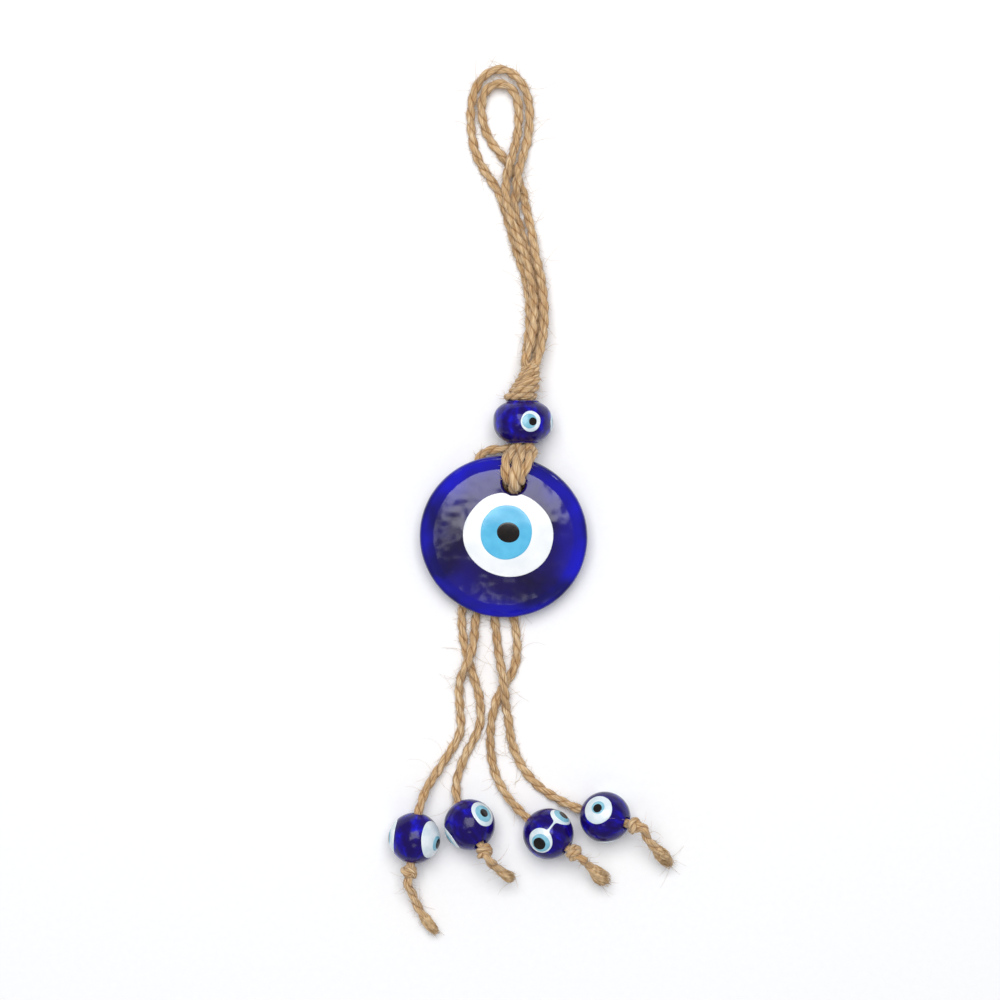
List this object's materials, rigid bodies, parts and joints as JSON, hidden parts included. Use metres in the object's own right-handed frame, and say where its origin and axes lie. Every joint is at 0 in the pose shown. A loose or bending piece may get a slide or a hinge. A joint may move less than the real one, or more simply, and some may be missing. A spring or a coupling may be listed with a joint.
{
  "type": "evil eye hanging ornament",
  "caption": "Hanging charm: a domed blue glass eye disc on jute twine, a barrel bead above it and knotted tails below, each ending in a small round eye bead and a frayed tip.",
  "frame": {"origin": "bottom centre of the box round the glass and the collar knot, on the plane the ornament lies on", "axes": "+Y from the tails towards the hanger loop, +Z out of the front of the disc, +X to the right seen from the front"},
  "size_m": [0.0681, 0.2077, 0.0151],
  "materials": {
    "cobalt_glass": "deep cobalt blue pressed glass, polished, faintly streaked",
    "eye_white": "opaque white glass, glossy",
    "eye_blue": "opaque sky blue glass, glossy",
    "eye_black": "opaque near-black glass, glossy",
    "twine": "two-ply jute twine, light brown, fuzzy"
  },
  "bodies": {
    "hanger": {"hanger_outer": "twine", "hanger_inner": "twine"},
    "neck": {"collar_knot": "twine", "core_strand_1": "twine", "core_strand_2": "twine", "core_strand_3": "twine", "core_strand_4": "twine"},
    "barrel_bead": {"barrel_glass": "cobalt_glass", "barrel_eye_1": "eye_white", "barrel_eye_2": "eye_white", "barrel_eye_3": "eye_white"},
    "disc": {"disc_glass": "cobalt_glass", "disc_eye_white": "eye_white", "disc_eye_blue": "eye_blue", "disc_eye_pupil": "eye_black", "rim_strand_1": "twine", "rim_strand_2": "twine", "rim_strand_3": "twine", "rim_strand_4": "twine", "back_knot": "twine", "tail_upper_1": "twine", "tail_upper_2": "twine", "tail_upper_3": "twine", "tail_upper_4": "twine"},
    "tail_1": {"tail_lower_1": "twine", "stopper_knot_1": "twine", "tail_end_1": "twine"},
    "bead_1": {"bead_1_glass": "cobalt_glass", "bead_1_eye_1": "eye_white", "bead_1_eye_2": "eye_white", "bead_1_eye_3": "eye_white"},
    "tail_2": {"tail_lower_2": "twine", "stopper_knot_2": "twine", "tail_end_2": "twine"},
    "bead_2": {"bead_2_glass": "cobalt_glass", "bead_2_eye_1": "eye_white", "bead_2_eye_2": "eye_white", "bead_2_eye_3": "eye_white"},
    "tail_3": {"tail_lower_3": "twine", "stopper_knot_3": "twine", "tail_end_3": "twine"},
    "bead_3": {"bead_3_glass": "cobalt_glass", "bead_3_eye_1": "eye_white", "bead_3_eye_2": "eye_white", "bead_3_eye_3": "eye_white"},
    "tail_4": {"tail_lower_4": "twine", "stopper_knot_4": "twine", "tail_end_4": "twine"},
    "bead_4": {"bead_4_glass": "cobalt_glass", "bead_4_eye_1": "eye_white", "bead_4_eye_2": "eye_white", "bead_4_eye_3": "eye_white"}
  },
  "joints": [
    {"name": "neck_swing", "type": "hinge", "parent": "hanger", "child": "neck", "pos_m": [0.0049, 0.0596, 0.006], "axis": [0, 0, 1], "range_deg": [-25, 25]},
    {"name": "barrel_spin", "type": "hinge", "parent": "neck", "child": "barrel_bead", "pos_m": [0.003, 0.0459, 0.007], "axis": [0, 1, 0], "continuous": true},
    {"name": "disc_lift", "type": "hinge", "parent": "neck", "child": "disc", "pos_m": [0.003, 0.04, 0.007], "axis": [-1, 0, 0], "range_deg": [0, 18]},
    {"name": "tail_1_lift", "type": "hinge", "parent": "disc", "child": "tail_1", "pos_m": [-0.01185, -0.024, 0.0011], "axis": [-1, 0, 0], "range_deg": [0, 35]},
    {"name": "bead_1_spin", "type": "hinge", "parent": "tail_1", "child": "bead_1", "pos_m": [-0.0227, -0.053, 0.00605], "axis": [-0.1458, -0.9879, 0.0524], "continuous": true},
    {"name": "tail_2_lift", "type": "hinge", "parent": "disc", "child": "tail_2", "pos_m": [-0.007, -0.024, 0.0011], "axis": [-1, 0, 0], "range_deg": [0, 35]},
    {"name": "bead_2_spin", "type": "hinge", "parent": "tail_2", "child": "bead_2", "pos_m": [-0.0096, -0.0498, 0.00605], "axis": [0.4529, -0.7764, 0.4383], "continuous": true},
    {"name": "tail_3_lift", "type": "hinge", "parent": "disc", "child": "tail_3", "pos_m": [-0.0041, -0.024, 0.0011], "axis": [-1, 0, 0], "range_deg": [0, 35]},
    {"name": "bead_3_spin", "type": "hinge", "parent": "tail_3", "child": "bead_3", "pos_m": [0.0091, -0.052, 0.00605], "axis": [0.7844, -0.5556, 0.2756], "continuous": true},
    {"name": "tail_4_lift", "type": "hinge", "parent": "disc", "child": "tail_4", "pos_m": [-0.0006, -0.024, 0.0011], "axis": [-1, 0, 0], "range_deg": [0, 35]},
    {"name": "bead_4_spin", "type": "hinge", "parent": "tail_4", "child": "bead_4", "pos_m": [0.0226, -0.048, 0.00605], "axis": [0.8726, -0.2157, 0.4383], "continuous": true}
  ]
}
